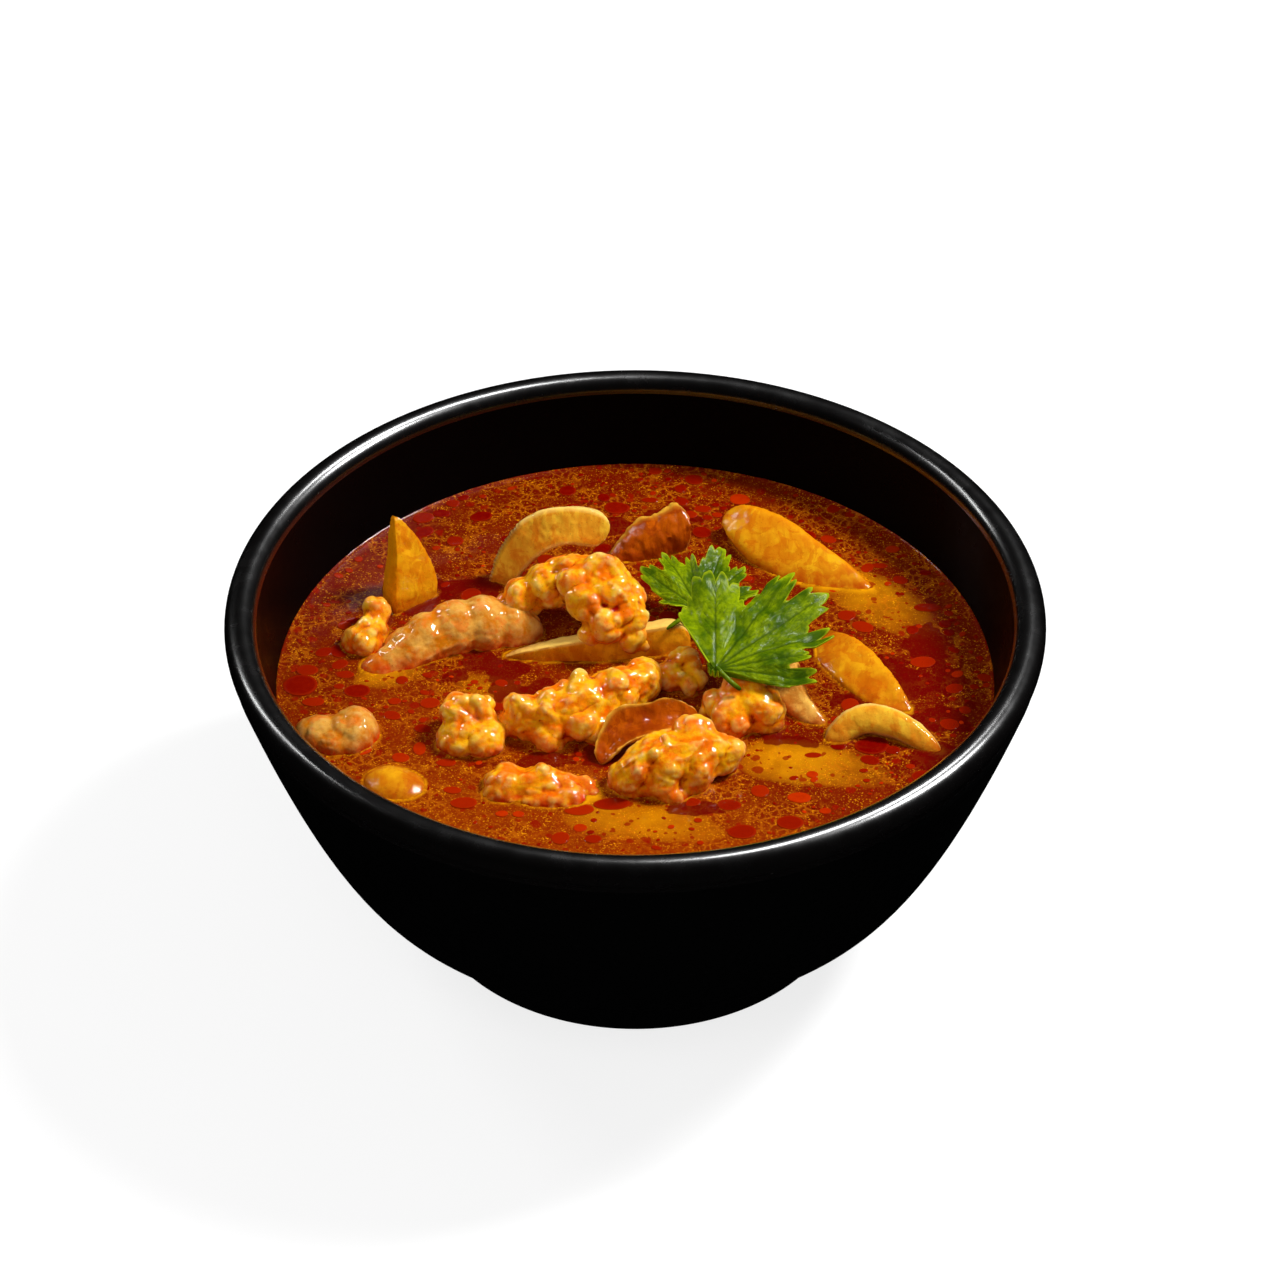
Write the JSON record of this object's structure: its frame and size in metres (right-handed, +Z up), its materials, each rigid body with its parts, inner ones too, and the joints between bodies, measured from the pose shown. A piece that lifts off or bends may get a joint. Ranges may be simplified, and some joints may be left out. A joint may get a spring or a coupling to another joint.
{
  "type": "bowl of tom yum soup",
  "caption": "Round black bowl on a foot ring, filled with red and orange hot and sour soup with pieces of meat, mushroom slices and a coriander sprig.",
  "frame": {"origin": "centre of the foot ring's circle, on the surface that the bowl stands on", "axes": "+Z up along the bowl's axis; the eater sits at -Y, and +X is to the eater's right"},
  "size_m": [0.18, 0.18, 0.0835],
  "materials": {
    "bowl_black": "black glaze, glossy on the lip and inside, satin and finely speckled outside",
    "broth_orange": "wet, cloudy orange broth with drops and pools of dark red chilli oil",
    "chicken_flesh": "cooked meat, knobby and wet, stained orange and red by the oil",
    "mushroom_flesh": "cooked sliced mushroom, smooth and wet, brown gills",
    "leaf_green": "fresh leaf, satin, with veins"
  },
  "bodies": {
    "root": {"bowl": "bowl_black", "broth": "broth_orange", "chicken_centre": "chicken_flesh", "chicken_chunk_right": "chicken_flesh", "chicken_chunk_rim": "chicken_flesh", "chicken_chunk_shaded": "chicken_flesh", "chicken_chunk_small": "chicken_flesh", "chicken_chunk_sunk": "chicken_flesh", "chicken_curl": "chicken_flesh", "chicken_front": "chicken_flesh", "chicken_knob_left": "chicken_flesh", "chicken_strip": "chicken_flesh", "mushroom_arch": "mushroom_flesh", "mushroom_back": "mushroom_flesh", "mushroom_cap_rim": "mushroom_flesh", "mushroom_flap": "mushroom_flesh", "mushroom_slice_front": "mushroom_flesh", "mushroom_slice_middle": "mushroom_flesh", "mushroom_slice_right": "mushroom_flesh", "mushroom_slice_small": "mushroom_flesh", "mushroom_strip_back": "mushroom_flesh", "mushroom_wedge": "mushroom_flesh", "coriander_leaf_back": "leaf_green", "coriander_leaf_front": "leaf_green"}
  },
  "joints": []
}
